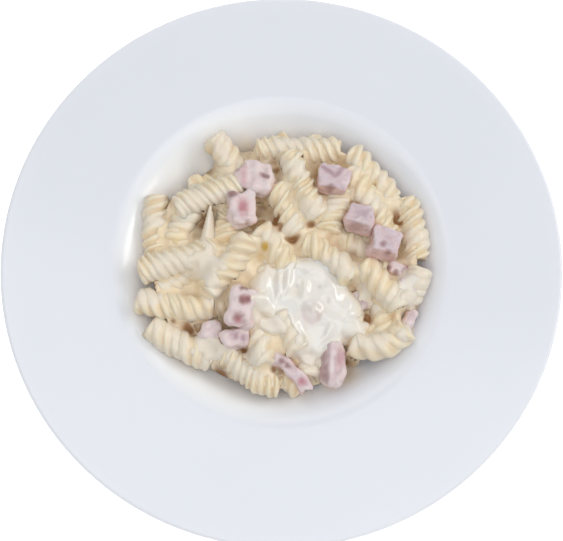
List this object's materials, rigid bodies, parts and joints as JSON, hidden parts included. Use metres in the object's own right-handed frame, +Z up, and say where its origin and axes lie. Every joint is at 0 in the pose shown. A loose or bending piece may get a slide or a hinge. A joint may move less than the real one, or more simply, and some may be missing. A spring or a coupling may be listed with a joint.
{
  "type": "fusilli carbonara pasta dish on a wide rim plate",
  "caption": "White wide-rimmed pasta plate heaped with spiral pasta in cream sauce, with diced ham and a pool of cream on top.",
  "frame": {"origin": "middle of the plate's footprint, on the table it stands on", "axes": "+Z up out of the plate; +Y away from the diner; +X to the diner's right"},
  "size_m": [0.27, 0.27, 0.0584],
  "materials": {
    "porcelain": "smooth white glaze",
    "pasta": "cooked pasta coated in cream sauce, soft sheen",
    "cream": "thick wet cream sauce",
    "ham": "cooked ham with a thin coat of sauce"
  },
  "bodies": {
    "root": {"plate": "porcelain", "pasta": "pasta", "cream": "cream", "ham_01": "ham", "ham_02": "ham", "ham_03": "ham", "ham_04": "ham", "ham_05": "ham", "ham_06": "ham", "ham_07": "ham", "ham_08": "ham", "ham_09": "ham", "ham_10": "ham", "ham_11": "ham", "ham_12": "ham", "ham_13": "ham", "ham_14": "ham"}
  },
  "joints": []
}
